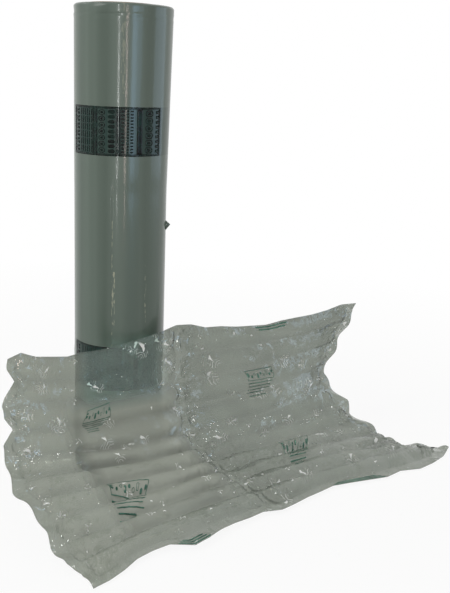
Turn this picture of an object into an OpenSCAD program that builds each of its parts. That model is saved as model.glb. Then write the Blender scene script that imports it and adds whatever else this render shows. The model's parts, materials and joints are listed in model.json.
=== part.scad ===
// Film roll for air cushion wrap, standing on its end, with an inflated length
// of the same film leaning on its foot. Millimetres, +Z up.
// The origin is on the roll's axis, at the level that everything stands on.

/* [Core] */
// Inner diameter of the cardboard core
core_id = 50.8; // [40:0.1:80]
// Wall of the core
core_wall = 3; // [1.5:0.1:6]
// How far the core stands out of the film at each end
core_proud = 1; // [0:0.1:4]

/* [Roll] */
// Width of the film web, which is the length of the roll
web_w = 398; // [300:1:600]
// Thickness of the film wound on the core
wound_wall = 10.75; // [6:0.05:40]
// Step at the free edge of the last turn
tail_step = 0.4; // [0.2:0.05:1]
// Direction of the free edge round the axis
tail_angle = -94; // [-180:1:180]
// Length over which the loose outer turns flare to the right, down from the top
flare_l = 137; // [60:1:180]
// How far the flared turns stand out at the top
flare_out = 2.8; // [0.5:0.1:6]
// Height of the folded film corner on the right side
tab_z = 219; // [150:1:250]
// Height of that corner's root
tab_h = 12; // [6:0.5:20]
// How far that corner stands out
tab_out = 3.6; // [1:0.1:8]
// Thickness of that corner, several folds of film
tab_t = 1.2; // [0.6:0.1:3]

/* [Turns on the end faces] */
// Turns shown on each end face
turns_shown = 8; // [3:1:14]
// Width of the line between two turns
turn_gap = 0.35; // [0.2:0.05:0.6]
// Depth of that line
turn_depth = 0.8; // [0.3:0.1:2]

/* [Print on the roll] */
// Height of each printed band
band_h = 39; // [20:1:60]
// Distance between the two bands, centre to centre
band_pitch = 200; // [100:1:300]
// Line that frames a band at its top and bottom
band_line = 1.6; // [0.8:0.1:4]
// Printed panels round the roll
panels = 14; // [6:1:24]
// Share of the way round that the panels cover
panel_share = 0.84; // [0.4:0.01:0.95]
// Build-up of the ink fields
ink_t = 0.15; // [0.1:0.01:0.4]

/* [Inflated sheet] */
// Cross tubes along the sheet
tubes = 10; // [6:1:14]
// Distance between two tube seams
tube_pitch = 20; // [15:0.5:30]
// Thickness of an inflated tube
tube_h = 18; // [10:0.5:24]
// Both films together, where they are sealed
seal_t = 0.8; // [0.6:0.1:1.6]
// Flat border along the two long edges
edge_w = 9; // [5:0.5:20]
// Flat seam between the two columns of tubes
seam_w = 8; // [4:0.5:16]
// Flat strip left where the sheet was torn off
tear_w = 8; // [4:0.5:16]
// Length over which a tube's end closes down
tube_end = 20; // [10:1:40]
// How far the long borders wave up and down
ruffle = 2.5; // [0:0.5:5]
// Gap between the leaning sheet and the roll's print
lean_gap = 0.3; // [0.2:0.1:1]
// Turn of the sheet about the roll, from the X axis
sheet_turn = 38; // [0:1:60]

/* [Print on the sheet] */
// Tube seams from one printed row to the next
row_step = 4; // [3:1:6]
// Ink fields stand this far off the film
ink_lift = 0.05; // [0.02:0.01:0.1]

/* [Hidden] */
$fn = 96;

film_colour = [0.40, 0.44, 0.41];
sheet_colour = [0.53, 0.56, 0.53];
ink_colour = [0.10, 0.24, 0.21];
card_colour = [0.70, 0.58, 0.42];

// How far a cutting tool reaches past what it cuts
past = 1;

core_r = core_id / 2;
core_out = core_r + core_wall;
core_l = web_w + 2 * core_proud;
film_z = core_proud;
film_top = core_proud + web_w;
flare_z = film_top - flare_l;
roll_r = core_out + wound_wall;
far = 4 * roll_r;
inner_turns = 1;
outer_turns = 1;
turn_pitch = (wound_wall - inner_turns - outer_turns) / turns_shown;

// Core

module core_tube() {
    color(card_colour)
    difference() {
        cylinder(r = core_out, h = core_l);
        translate([0, 0, -past]) cylinder(r = core_r, h = core_l + 2 * past);
    }
}

// Roll of film

// Half of a round bar, on the side of +Y
module half_bar(r, z0, z1) {
    intersection() {
        translate([0, 0, z0]) cylinder(r = r, h = z1 - z0);
        translate([-far, 0, z0 - past]) cube([2 * far, far, z1 - z0 + 2 * past]);
    }
}

// The even part of the wound film: two half turns that end in the step of the
// free edge. It reaches a little way into the loose turns.
module even_turns(extra) {
    into = 1;
    rotate(tail_angle) {
        half_bar(roll_r + extra, film_z, flare_z + into);
        translate([-tail_step / 2, 0, 0]) mirror([0, 1, 0])
            half_bar(roll_r - tail_step / 2 + extra, film_z, flare_z + into);
    }
}

// The loose turns above it, which lean out to the right. Their first ring
// just covers the even part.
module flared_turns(extra) {
    lip = 0.5;
    sides = 48;
    cover_r = (roll_r + extra + 0.05) / cos(180 / sides);
    hull() {
        translate([0, 0, flare_z]) cylinder(r = cover_r, h = lip, $fn = sides);
        translate([flare_out / 2, 0, film_top - lip])
            cylinder(r = cover_r + flare_out / 2, h = lip, $fn = sides);
    }
}

// One half turn of the line that shows between the turns on an end face
module half_line(r, z0, z1) {
    translate([0, 0, z0]) rotate_extrude(angle = 180)
        translate([r, 0]) square([turn_gap, z1 - z0]);
}

// The line winds outwards: every second half turn lies half a pitch off centre,
// so it starts where the last one ends and ends where the next one starts
module turn_lines(z0, z1) {
    for (k = [0:turns_shown - 1]) {
        r = core_out + inner_turns + k * turn_pitch;
        half_line(r, z0, z1);
        translate([turn_pitch / 2, 0, 0]) mirror([0, 1, 0])
            half_line(r + turn_pitch / 2, z0, z1);
    }
}

// Corner of the loose film, folded back on itself
corner_root = 2;
module folded_corner() {
    root = roll_r - corner_root;
    translate([0, tab_t, tab_z]) rotate([90, 0, 0])
        linear_extrude(height = tab_t)
            polygon([[root, -tab_h / 2], [roll_r + tab_out, tab_h / 10], [root, tab_h / 2]]);
}

module film_roll() {
    color(film_colour)
    difference() {
        union() {
            even_turns(0);
            flared_turns(0);
            folded_corner();
        }
        translate([0, 0, -past]) cylinder(r = core_out, h = core_l + 2 * past);
        rotate(tail_angle) {
            turn_lines(film_top - turn_depth, film_top + past);
            turn_lines(film_z - past, film_z + turn_depth);
        }
    }
}

// Print on the roll

// Panels and frame lines of one band, as a ring thicker than the ink
ring_past = 3;
module band_fields(z_mid) {
    inner = roll_r - ring_past;
    outer = roll_r + flare_out + ring_past;
    step = 360 / panels;
    for (z = [z_mid - band_h / 2, z_mid + band_h / 2 - band_line])
        translate([0, 0, z]) difference() {
            cylinder(r = outer, h = band_line);
            translate([0, 0, -past]) cylinder(r = inner, h = band_line + 2 * past);
        }
    for (k = [0:panels - 1])
        rotate(k * step)
            translate([0, 0, z_mid - band_h / 2 + band_line / 2])
                rotate_extrude(angle = step * panel_share)
                    translate([inner, 0]) square([outer - inner, band_h - band_line]);
}

// The band follows the even turns or the loose ones, wherever it lies
module printed_band(z_mid) {
    if (z_mid - band_h / 2 < flare_z)
        difference() {
            intersection() {
                even_turns(ink_t);
                band_fields(z_mid);
            }
            even_turns(0);
        }
    if (z_mid + band_h / 2 > flare_z)
        difference() {
            intersection() {
                flared_turns(ink_t);
                band_fields(z_mid);
            }
            flared_turns(0);
        }
}

module roll_print() {
    z_mid = film_z + web_w / 2;
    color(ink_colour) {
        printed_band(z_mid - band_pitch / 2);
        printed_band(z_mid + band_pitch / 2);
    }
}

// Inflated sheet

// The sheet's middle surface runs through these points. Each row is a line
// along the web, from its torn front edge to its back edge: the left edge, the
// middle of the left column, the centre seam, the middle of the right column
// and the right edge. A point is [across the web from the roll's axis, out
// from the plane in which the sheet leans on the roll, up].
web_net = 400;
net_l = 208;
net = [
    [[-126, 128, -8], [-129, 88, 1], [-132, 47, 21], [-137, 14, 45], [-134, -2, 83], [-129, -6, 121]],
    [[-38, 109, -3], [-40, 81, 4], [-42, 47, 17], [-48, 19, 35], [-50, 3, 75], [-50, -1, 117]],
    [[57, 114, -5], [46, 76, 4], [40, 45, 12], [33, 16, 31], [30, 3, 75], [28, -1, 123]],
    [[160, 114, -6], [150, 76, 3], [140, 43, 10], [128, 17, 31], [128, 4, 75], [130, -1, 117]],
    [[284, 104, -9], [250, 77, -5], [236, 44, 5], [205, 9, 41], [218, 0, 81], [250, -4, 119]]
];

// How far each edge stands out or in at even steps along it: the long edges
// from front to back, the torn edges from left to right
left_edge = [0, 0, -2.5, 3.5, 4, 4.5, 2, 1, 2, 4, 6.5, 3.5, 0.5, 0.5, 0.5, -10.5, -2, -1, -6.5, -10, -4, -3.5];
right_edge = [-1, 1.5, 4.5, -1, -1.5, -4.5, -6, -5.5, -3, 0, -5, 8, 6.5, 4, -2.5, 3, 5, 6, 8, 7, 6, -1];
front_edge = [0, 1.5, 1, -1.5, 0, 3, 17, 14, 8, 4, 1.5, -2.5, 2, -1, -4.5, -6.5, -9, -5, 0, 5.5, 4, 12, 11, 7.5, -1];
back_edge = [-0.5, 4, 0, -1, -2, 0, 0, 0, 0, 0, 0, 1, 4, 3, -1, -1, -2.5, -3, -4, -2.5, -2.5, -3, -2, 0.5, -1];
edge_fade = 36;

function weights(t) = [
    -t * t * t / 2 + t * t - t / 2,
    3 * t * t * t / 2 - 5 * t * t / 2 + 1,
    -3 * t * t * t / 2 + 2 * t * t + t / 2,
    t * t * t / 2 - t * t / 2
];

// Smooth curve through the points p, at the share t of its way
function through(p, t) =
    let (n = len(p), s = t * (n - 1), k = min(max(floor(s), 0), n - 2), w = weights(s - k),
         before = k > 0 ? p[k - 1] : 2 * p[0] - p[1],
         after = k + 2 < n ? p[k + 2] : 2 * p[n - 1] - p[n - 2])
    w[0] * before + w[1] * p[k] + w[2] * p[k + 1] + w[3] * after;

sheet_l = tear_w + tubes * tube_pitch;
across_k = web_w / web_net;
along_k = sheet_l / net_l;
lean_out = roll_r + ink_t + lean_gap + tube_h / 2;

// Value of an evenly spaced list at the share t of its way
function listed(v, t) =
    let (s = min(max(t, 0), 1) * (len(v) - 1), k = min(floor(s), len(v) - 2))
    v[k] + (s - k) * (v[k + 1] - v[k]);

function square_fade(distance, reach) = pow(max(0, 1 - distance / reach), 2);

// The net's surface with its edges drawn, at a across the web and b along it
function drawn(a, b) =
    let (u = a / web_w, v = b / sheet_l, q = through([for (row = net) through(row, v)], u),
         across = -listed(left_edge, v) * square_fade(a, edge_fade)
             + listed(right_edge, v) * square_fade(web_w - a, edge_fade),
         out = listed(front_edge, u) * square_fade(b, edge_fade),
         up = listed(back_edge, u) * square_fade(sheet_l - b, edge_fade))
    [(q[0] + across) * across_k, -(lean_out + (q[1] + out) * along_k), tube_h / 2 + (q[2] + up) * along_k];

function unit(v) = v / norm(v);

function drawn_normal(a, b) =
    let (d = 1.5)
    unit(cross(drawn(a + d, b) - drawn(a - d, b), drawn(a, b + d) - drawn(a, b - d)));

// The tubes draw the film in, and the flat borders and the centre seam keep
// their length, so they wave up and down
border_waves = 8;
seam_waves = 11;
function wave(a, b) =
    let (turn = 360 * b / sheet_l)
    ruffle * square_fade(min(a, web_w - a), 2 * edge_w) * sin(border_waves * turn + a)
        + ruffle / 2 * square_fade(abs(a - web_w / 2), 2 * seam_w) * sin(seam_waves * turn);

// Middle surface of the sheet
function middle(a, b) = drawn(a, b) + wave(a, b) * drawn_normal(a, b);

function normal(a, b) =
    let (d = 1.5)
    unit(cross(middle(a + d, b) - middle(a - d, b), middle(a, b + d) - middle(a, b - d)));

// Half the thickness: slack tubes that close down at their ends
column_l = (web_w - 2 * edge_w - seam_w) / 2;
function arch(t) = sqrt(max(0, 1 - t * t));
function section(t) = max(0, 1 - t * t);
function half_thickness(a, b) =
    let (c = a < web_w / 2 ? a - edge_w : web_w - edge_w - a,
         end = min(max(min(c, column_l - c) / tube_end, 0), 1),
         w = (b - tear_w) / tube_pitch,
         tube = w < 0 ? 0 : section(2 * (w - floor(w + 0.0001)) - 1))
    seal_t / 2 + (tube_h - seal_t) / 2 * arch(1 - end) * tube;

// The grid follows the seams, closer together where a tube's end closes
tube_cells = 6;
column_cells = 18;
tear_cells = 2;
column_steps = [for (k = [0:column_cells]) column_l * (1 - cos(180 * k / column_cells)) / 2];
grid_a = concat(
    [0],
    [for (s = column_steps) edge_w + s],
    [web_w / 2],
    [for (s = column_steps) web_w / 2 + seam_w / 2 + s],
    [web_w]);
grid_b = concat(
    [for (k = [0:tear_cells - 1]) tear_w * k / tear_cells],
    [for (k = [0:tubes * tube_cells]) tear_w + k * tube_pitch / tube_cells]);
na = len(grid_a);
nb = len(grid_b);

function on_floor(p, least) = [p[0], p[1], max(p[2], least)];
middle_grid = [for (a = grid_a) [for (b = grid_b) middle(a, b)]];
normal_grid = [for (a = grid_a) [for (b = grid_b) normal(a, b)]];
half_grid = [for (a = grid_a) [for (b = grid_b) half_thickness(a, b)]];

// Closed skin between two grids of points over cells i0 to i1 and j0 to j1:
// upper and lower are rows of points, as many as the cells need
function skin_faces(m, n) =
    let (low = m * n)
    concat(
        [for (i = [0:m - 2]) for (j = [0:n - 2])
            each [[i * n + j, i * n + j + 1, (i + 1) * n + j],
                  [i * n + j + 1, (i + 1) * n + j + 1, (i + 1) * n + j]]],
        [for (i = [0:m - 2]) for (j = [0:n - 2])
            each [[low + i * n + j, low + (i + 1) * n + j, low + i * n + j + 1],
                  [low + i * n + j + 1, low + (i + 1) * n + j, low + (i + 1) * n + j + 1]]],
        [for (i = [0:m - 2])
            each [[i * n, (i + 1) * n, low + i * n], [(i + 1) * n, low + (i + 1) * n, low + i * n],
                  [i * n + n - 1, low + i * n + n - 1, (i + 1) * n + n - 1],
                  [(i + 1) * n + n - 1, low + i * n + n - 1, low + (i + 1) * n + n - 1]]],
        [for (j = [0:n - 2])
            each [[j, low + j, j + 1], [j + 1, low + j, low + j + 1],
                  [(m - 1) * n + j, (m - 1) * n + j + 1, low + (m - 1) * n + j],
                  [(m - 1) * n + j + 1, low + (m - 1) * n + j + 1, low + (m - 1) * n + j]]]);

module skin(upper, lower) {
    m = len(upper);
    n = len(upper[0]);
    polyhedron(
        points = concat([for (row = upper) each row], [for (row = lower) each row]),
        faces = skin_faces(m, n));
}

// A grid of points lifted off the middle surface by the half thickness and more
function lifted(i0, i1, j0, j1, sign, more) = [
    for (i = [i0:i1]) [
        for (j = [j0:j1])
            on_floor(middle_grid[i][j] + sign * (half_grid[i][j] + more) * normal_grid[i][j],
                     sign > 0 ? seal_t + more : 0)]];

module cushion_sheet() {
    color(sheet_colour)
    rotate(sheet_turn)
        skin(lifted(0, na - 1, 0, nb - 1, 1, 0), lifted(0, na - 1, 0, nb - 1, -1, 0));
}

// Print on the sheet

module ink_field(i0, i1, j0, j1) {
    skin(lifted(i0, i1, j0, j1, 1, ink_lift + ink_t), lifted(i0, i1, j0, j1, 1, ink_lift));
}

// One printed mark: a panel with two bars under it, on the cells of the grid
mark_cells = 2;
module printed_mark(i, j) {
    ink_field(i, i + mark_cells, j, j + 2);
    ink_field(i, i + mark_cells, j - 2, j - 1);
    ink_field(i, i + mark_cells, j - 4, j - 3);
}

module sheet_print() {
    border_cells = 1;
    seam_cells = 2;
    bars_below = 4;
    tubes_behind = 3;
    mark_left = border_cells + (column_cells - mark_cells) / 2;
    mark_right = mark_left + column_cells + seam_cells;
    first_row = tear_cells + (tubes - tubes_behind) * tube_cells + tube_cells / 2;
    color(ink_colour)
    rotate(sheet_turn)
        for (i = [mark_left, mark_right])
            for (j = [first_row : -row_step * tube_cells : bars_below])
                printed_mark(i, j);
}

core_tube();
film_roll();
roll_print();
cushion_sheet();
sheet_print();
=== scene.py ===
"""Film roll for air cushion wrap, with an inflated length of the same film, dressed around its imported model.

Metres, +Z up. The roll's axis is the Z axis, and everything stands on z = 0.
"""
from __future__ import annotations

import json
import logging
import math
from dataclasses import dataclass, field
from enum import Enum
from typing import Callable, Sequence

import bmesh
import bpy
import numpy as np
from mathutils import Matrix, Vector

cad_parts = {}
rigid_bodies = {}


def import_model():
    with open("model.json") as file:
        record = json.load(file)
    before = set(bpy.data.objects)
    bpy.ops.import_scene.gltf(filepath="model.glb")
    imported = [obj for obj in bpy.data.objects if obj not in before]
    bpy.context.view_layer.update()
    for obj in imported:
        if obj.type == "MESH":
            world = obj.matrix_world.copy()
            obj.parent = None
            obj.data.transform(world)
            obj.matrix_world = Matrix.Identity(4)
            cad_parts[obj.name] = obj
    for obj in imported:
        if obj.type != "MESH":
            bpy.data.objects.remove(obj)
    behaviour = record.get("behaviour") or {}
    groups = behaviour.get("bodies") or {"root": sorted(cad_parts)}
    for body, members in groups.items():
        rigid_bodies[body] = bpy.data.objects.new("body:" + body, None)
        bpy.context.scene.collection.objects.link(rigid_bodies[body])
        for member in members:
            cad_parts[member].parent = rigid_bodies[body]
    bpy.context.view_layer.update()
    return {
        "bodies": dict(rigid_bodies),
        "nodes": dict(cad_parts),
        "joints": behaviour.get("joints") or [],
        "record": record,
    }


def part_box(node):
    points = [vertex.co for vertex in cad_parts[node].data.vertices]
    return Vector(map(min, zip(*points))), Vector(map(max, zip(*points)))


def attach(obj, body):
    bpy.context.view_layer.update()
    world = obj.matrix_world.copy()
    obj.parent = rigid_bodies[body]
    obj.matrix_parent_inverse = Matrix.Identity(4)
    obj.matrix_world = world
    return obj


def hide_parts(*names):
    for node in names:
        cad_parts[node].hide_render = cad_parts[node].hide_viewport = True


MM = 0.001
SEED = 7
LOG = logging.getLogger("film_roll")

Colour = tuple[float, float, float, float]
Place = Callable[[float, float, float], Vector]


def linear(code: str) -> Colour:
    """Turns an sRGB hex value into a linear colour.

    Args:
        code: A value such as "#6a736c".

    Returns:
        Red, green, blue and an alpha of 1.
    """
    channels = [int(code[i:i + 2], 16) / 255 for i in (1, 3, 5)]
    red, green, blue = (c / 12.92 if c <= 0.04045 else ((c + 0.055) / 1.055) ** 2.4 for c in channels)
    return red, green, blue, 1.0


def add_node(
    tree: bpy.types.NodeTree,
    kind: str,
    inputs: dict[str | int, object] | None = None,
    stops: Sequence[tuple[float, Colour]] = (),
    **settings: object,
) -> bpy.types.Node:
    """Adds a node with its settings and links.

    Args:
        tree: The node tree that it joins.
        kind: The node's type in bpy.
        inputs: Each input's value, or the socket that it is linked from.
        stops: Places and colours of a colour ramp, where the node has one.
        settings: The node's own properties.

    Returns:
        The new node.
    """
    node = tree.nodes.new(kind)
    for name, value in settings.items():
        setattr(node, name, value)
    for key, value in (inputs or {}).items():
        if isinstance(value, bpy.types.NodeSocket):
            tree.links.new(value, node.inputs[key])
        else:
            node.inputs[key].default_value = value
    if stops:
        ramp = node.color_ramp.elements
        while len(ramp) < len(stops):
            ramp.new(1.0)
        for element, (place, colour) in zip(ramp, stops):
            element.position = place
            element.color = colour
    return node


def new_object(name: str, mesh_source: bmesh.types.BMesh, material: bpy.types.Material) -> bpy.types.Object:
    """Turns a bmesh into an object at the origin.

    Args:
        name: The piece's name.
        mesh_source: The bmesh, which is freed.
        material: The finish of all its faces.

    Returns:
        The linked object, smoothly shaded.
    """
    mesh = bpy.data.meshes.new(name)
    mesh_source.to_mesh(mesh)
    mesh_source.free()
    mesh.shade_smooth()
    mesh.materials.append(material)
    made = bpy.data.objects.new(name, mesh)
    bpy.context.scene.collection.objects.link(made)
    return made


def seen_plainly(tree: bpy.types.NodeTree) -> bpy.types.NodeSocket:
    """Tells whether a surface is seen by the camera, in a reflection or through clear material.

    Args:
        tree: The node tree that it joins.

    Returns:
        A socket with 1 where it is, and 0 for the light that it gives.
    """
    path = add_node(tree, "ShaderNodeLightPath")
    mirrored = add_node(tree, "ShaderNodeMath", {
        0: path.outputs["Is Camera Ray"], 1: path.outputs["Is Glossy Ray"],
    }, operation="MAXIMUM")
    return add_node(tree, "ShaderNodeMath", {
        0: mirrored.outputs[0], 1: path.outputs["Is Transmission Ray"],
    }, operation="MAXIMUM").outputs[0]


class Finish:
    """A surface finish, which becomes one material."""

    name = "finish"

    def surface(self, tree: bpy.types.NodeTree) -> dict[str | int, object]:
        """Adds the finish's pattern nodes and gives the shader's inputs."""
        raise NotImplementedError

    def material(self) -> bpy.types.Material:
        """Makes the material of this finish.

        Returns:
            A material with one Principled shader.
        """
        material = bpy.data.materials.new(self.name)
        material.use_nodes = True
        tree = material.node_tree
        tree.nodes.clear()
        shader = add_node(tree, "ShaderNodeBsdfPrincipled", self.surface(tree))
        add_node(tree, "ShaderNodeOutputMaterial", {"Surface": shader.outputs[0]})
        return material


@dataclass(frozen=True)
class KraftCard(Finish):
    """Spiral-wound kraft board: matt brown paper in strips that meet along a helix, with short fibres."""

    name: str = "kraft_card"
    face: str = "#a98a63"
    shade: str = "#8a6c48"
    # Real fibres are finer than a pixel, so they are drawn coarser
    fibre_mm: float = 1.6
    strip_mm: float = 90.0
    joint_mm: float = 1.2

    def surface(self, tree: bpy.types.NodeTree) -> dict[str | int, object]:
        """Adds the fibres and the helical joint of the paper strips.

        Args:
            tree: The node tree that they join.

        Returns:
            The shader's inputs.
        """
        place = add_node(tree, "ShaderNodeTexCoord").outputs["Object"]
        axes = add_node(tree, "ShaderNodeSeparateXYZ", {0: place})
        angle = add_node(tree, "ShaderNodeMath", {
            0: axes.outputs["Y"], 1: axes.outputs["X"],
        }, operation="ARCTAN2")
        turned = add_node(tree, "ShaderNodeMath", {
            0: angle.outputs[0], 1: self.strip_mm * MM / math.tau, 2: axes.outputs["Z"],
        }, operation="MULTIPLY_ADD")
        to_joint = add_node(tree, "ShaderNodeMath", {0: turned.outputs[0], 1: self.strip_mm * MM / 2},
                            operation="PINGPONG")
        joint = add_node(tree, "ShaderNodeMapRange", {
            "Value": to_joint.outputs[0], "From Min": 0.0, "From Max": self.joint_mm * MM,
            "To Min": 1.0, "To Max": 0.0,
        })
        fibre = add_node(tree, "ShaderNodeTexNoise", {
            "Vector": place, "Scale": 1 / (self.fibre_mm * MM), "Detail": 4.0, "Roughness": 0.65,
        })
        mottled = add_node(tree, "ShaderNodeValToRGB", {0: fibre.outputs[0]},
                           stops=[(0.35, linear(self.shade)), (0.62, linear(self.face))])
        lined = add_node(tree, "ShaderNodeMix", {
            0: joint.outputs[0], 6: mottled.outputs[0], 7: linear(self.shade),
        }, data_type="RGBA")
        bump = add_node(tree, "ShaderNodeBump", {
            "Strength": 0.35, "Distance": 0.2 * MM, "Height": fibre.outputs[0],
        })
        return {
            "Base Color": lined.outputs[2], "Roughness": 0.85, "IOR": 1.45,
            "Specular IOR Level": 0.3, "Normal": bump.outputs[0],
        }


@dataclass(frozen=True)
class WoundFilm(Finish):
    """Clear blown polyethylene, many turns deep: glossy, grey-green, streaked along the roll's height."""

    name: str = "wound_film"
    dark: str = "#566259"
    light: str = "#6a766d"
    ink_below: str = "#1a3530"
    # Pale colour of the painted glints: highlights painted along the last turn's edge and beside it
    painted_glint: str = "#b9b8a0"
    band_mid_mm: tuple[float, float] = (100.0, 300.0)
    band_h_mm: float = 39.0
    print_mid: float = math.radians(-92.5)
    print_half: float = math.radians(61.5)
    bare_share: float = 0.3
    streak_mm: float = 17.0
    ripple_mm: float = 3.0
    wave_mm: float = 5.0
    painted_glint_grain_mm: float = 1.4
    # Each painted glint line's direction in degrees, its foot and head in mm, its half width in degrees and
    # its strength
    painted_glint_lines: tuple[tuple[float, float, float, float, float], ...] = (
        (-93.0, 60.0, 262.0, 0.7, 0.35),
        (-91.0, 135.0, 185.0, 1.6, 0.55),
        (-50.0, 140.0, 190.0, 1.2, 0.35),
        (-82.0, 330.0, 400.0, 2.5, 0.25),
        (-72.0, 60.0, 96.0, 1.2, 0.4),
    )

    def surface(self, tree: bpy.types.NodeTree) -> dict[str | int, object]:
        """Adds the streaks, the ink of the turns below, the painted glints and the small ripples.

        Args:
            tree: The node tree that they join.

        Returns:
            The shader's inputs.
        """
        place = add_node(tree, "ShaderNodeTexCoord").outputs["Object"]
        upright = add_node(tree, "ShaderNodeMapping", {"Vector": place, "Scale": (1.0, 1.0, 0.012)})
        streak = add_node(tree, "ShaderNodeTexNoise", {
            "Vector": upright.outputs[0], "Scale": 1 / (self.streak_mm * MM), "Detail": 2.0,
            "Roughness": 0.45, "Distortion": 0.2,
        })
        body = add_node(tree, "ShaderNodeValToRGB", {0: streak.outputs[0]},
                        stops=[(0.3, linear(self.dark)), (0.7, linear(self.light))])
        axes = add_node(tree, "ShaderNodeSeparateXYZ", {0: place})
        height = axes.outputs["Z"]
        angle = add_node(tree, "ShaderNodeMath", {
            0: axes.outputs["Y"], 1: axes.outputs["X"],
        }, operation="ARCTAN2")
        from_mid = add_node(tree, "ShaderNodeMath", {
            0: angle.outputs[0], 1: self.print_mid,
        }, operation="SUBTRACT")
        apart = add_node(tree, "ShaderNodeMath", {
            0: from_mid.outputs[0], 1: math.pi / 2,
        }, operation="PINGPONG")
        printed = add_node(tree, "ShaderNodeMapRange", {
            "Value": apart.outputs[0], "From Min": self.print_half, "From Max": self.print_half + 0.03,
            "To Min": 1.0, "To Max": self.bare_share,
        })
        low_band, high_band = (
            add_node(tree, "ShaderNodeMath", {
                0: height, 1: mid * MM, 2: self.band_h_mm * MM / 2,
            }, operation="COMPARE").outputs[0]
            for mid in self.band_mid_mm
        )
        inked = add_node(tree, "ShaderNodeMath", {0: low_band, 1: high_band}, operation="MAXIMUM")
        blot = add_node(tree, "ShaderNodeTexNoise", {
            "Vector": upright.outputs[0], "Scale": 1 / (0.3 * self.streak_mm * MM), "Detail": 2.0,
        })
        depth = add_node(tree, "ShaderNodeMapRange", {
            "Value": blot.outputs[0], "From Min": 0.35, "From Max": 0.6, "To Min": 0.75, "To Max": 1.0,
        })
        spread = add_node(tree, "ShaderNodeMath", {
            0: inked.outputs[0], 1: printed.outputs[0],
        }, operation="MULTIPLY")
        soaked = add_node(tree, "ShaderNodeMath", {
            0: spread.outputs[0], 1: depth.outputs[0],
        }, operation="MULTIPLY")
        printed_film = add_node(tree, "ShaderNodeMix", {
            0: soaked.outputs[0], 6: body.outputs[0], 7: linear(self.ink_below),
        }, data_type="RGBA")
        # Painted glints: the pale lines are mixed into the film's colour
        colour = add_node(tree, "ShaderNodeMix", {
            0: self.painted_glints(tree, place, angle.outputs[0], height),
            6: printed_film.outputs[2],
            7: linear(self.painted_glint),
        }, data_type="RGBA")
        ripple = add_node(tree, "ShaderNodeTexNoise", {
            "Vector": place, "Scale": 1 / (self.ripple_mm * MM), "Detail": 1.5,
        })
        drawn_out = add_node(tree, "ShaderNodeMapping", {"Vector": place, "Scale": (1.0, 1.0, 0.15)})
        long_wave = add_node(tree, "ShaderNodeTexNoise", {
            "Vector": drawn_out.outputs[0], "Scale": 1 / (self.wave_mm * MM), "Detail": 2.0,
        })
        fine = add_node(tree, "ShaderNodeBump", {
            "Strength": 0.5, "Distance": 0.05 * MM, "Height": ripple.outputs[0],
        })
        waves = add_node(tree, "ShaderNodeBump", {
            "Strength": 0.6, "Distance": 0.15 * MM, "Height": long_wave.outputs[0], "Normal": fine.outputs[0],
        })
        return {
            "Base Color": colour.outputs[2], "Roughness": 0.3, "IOR": 1.4, "Specular IOR Level": 0.1,
            "Coat Weight": 0.4, "Coat Roughness": 0.13, "Coat IOR": 1.45, "Normal": waves.outputs[0],
            "Coat Normal": waves.outputs[0],
        }

    def painted_glints(self, tree: bpy.types.NodeTree, place: bpy.types.NodeSocket, angle: bpy.types.NodeSocket,
               height: bpy.types.NodeSocket) -> bpy.types.NodeSocket:
        """Adds pale, broken lines of painted glints: highlights painted at the last turn's edge and beside it.

        Args:
            tree: The node tree that they join.
            place: The place in the roll's own frame.
            angle: Direction round the axis.
            height: Height over the floor.

        Returns:
            How strongly each place takes the painted glint.
        """
        drawn_out = add_node(tree, "ShaderNodeMapping", {"Vector": place, "Scale": (1.0, 1.0, 0.25)})
        grain = add_node(tree, "ShaderNodeTexNoise", {
            "Vector": drawn_out.outputs[0], "Scale": 1 / (self.painted_glint_grain_mm * MM), "Detail": 2.0,
        })
        broken = add_node(tree, "ShaderNodeMapRange", {
            "Value": grain.outputs[0], "From Min": 0.5, "From Max": 0.62,
        })
        total: bpy.types.NodeSocket | None = None
        for turn, low, high, half, strength in self.painted_glint_lines:
            off = add_node(tree, "ShaderNodeMath", {
                0: angle, 1: math.radians(turn), 2: math.radians(half),
            }, operation="COMPARE")
            between = add_node(tree, "ShaderNodeMath", {
                0: height, 1: (low + high) / 2 * MM, 2: (high - low) / 2 * MM,
            }, operation="COMPARE")
            line = add_node(tree, "ShaderNodeMath", {
                0: off.outputs[0], 1: between.outputs[0],
            }, operation="MULTIPLY")
            share = add_node(tree, "ShaderNodeMath", {0: line.outputs[0], 1: strength}, operation="MULTIPLY")
            total = share.outputs[0] if total is None else add_node(tree, "ShaderNodeMath", {
                0: total, 1: share.outputs[0],
            }, operation="ADD").outputs[0]
        return add_node(tree, "ShaderNodeMath", {
            0: total, 1: broken.outputs[0],
        }, operation="MULTIPLY").outputs[0]


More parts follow.
